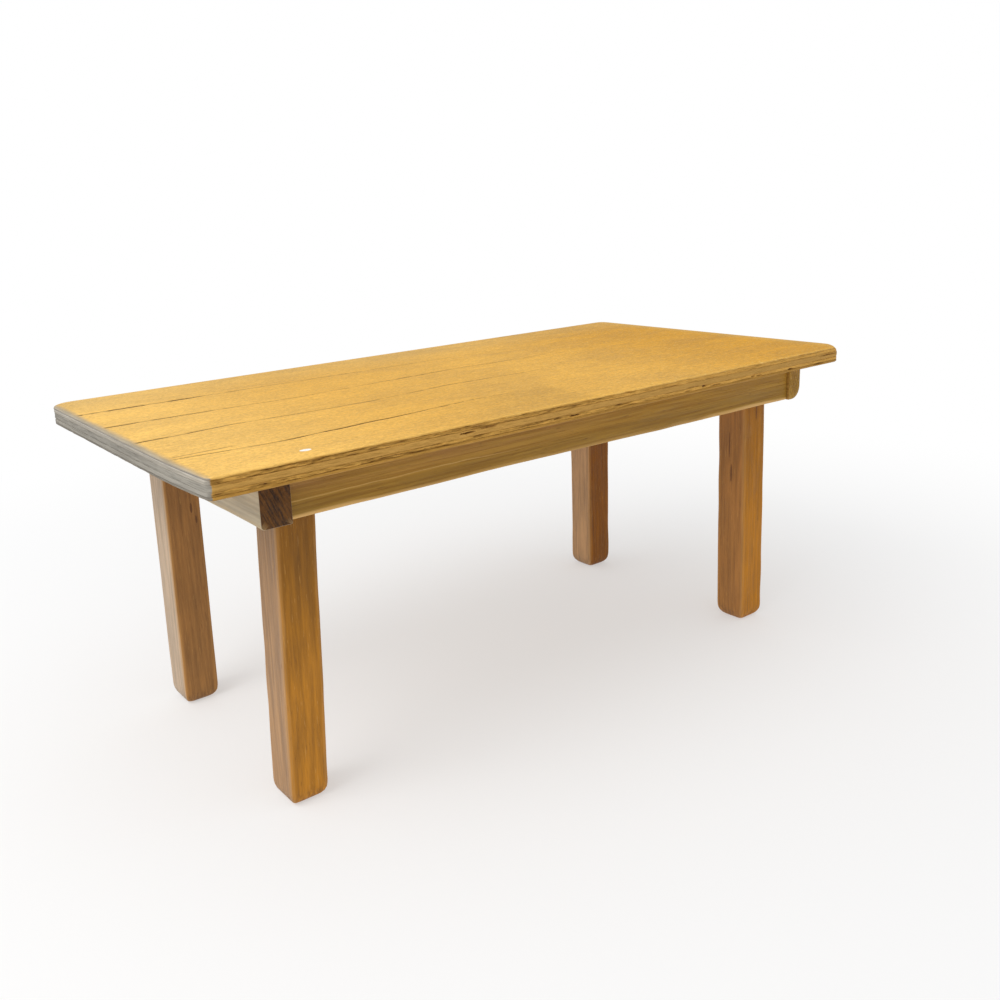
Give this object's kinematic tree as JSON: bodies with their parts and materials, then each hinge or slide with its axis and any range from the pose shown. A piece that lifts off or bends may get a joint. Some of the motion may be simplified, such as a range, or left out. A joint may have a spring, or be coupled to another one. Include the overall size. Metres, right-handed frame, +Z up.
{
  "type": "miniature dining table",
  "caption": "Small rectangular wooden table: a plank-scored plywood top on a frame of aprons, with square legs.",
  "frame": {"origin": "on the floor, under the middle of the top", "axes": "+X along the table towards its right end, +Y towards the back, +Z up"},
  "size_m": [0.302, 0.15, 0.127],
  "materials": {
    "stained_face": "satin golden stain over fine grain",
    "ply_crossband": "rough end grain, stained brown, bare grey on the left end",
    "ply_core": "sanded long grain, stained, bare grey on the left end",
    "ply_back": "bare veneer with a little stain at the edges",
    "end_apron_wood": "matt, nearly bare wood, dark stained end grain",
    "long_apron_wood": "satin olive brown stain",
    "leg_wood": "satin orange brown stain"
  },
  "bodies": {
    "root": {"top_face_ply": "stained_face", "top_upper_crossband": "ply_crossband", "top_core_ply": "ply_core", "top_lower_crossband": "ply_crossband", "top_back_ply": "ply_back", "apron_left": "end_apron_wood", "apron_right": "end_apron_wood", "apron_front": "long_apron_wood", "apron_back": "long_apron_wood", "leg_front_left": "leg_wood", "leg_front_right": "leg_wood", "leg_back_left": "leg_wood", "leg_back_right": "leg_wood"}
  },
  "joints": []
}
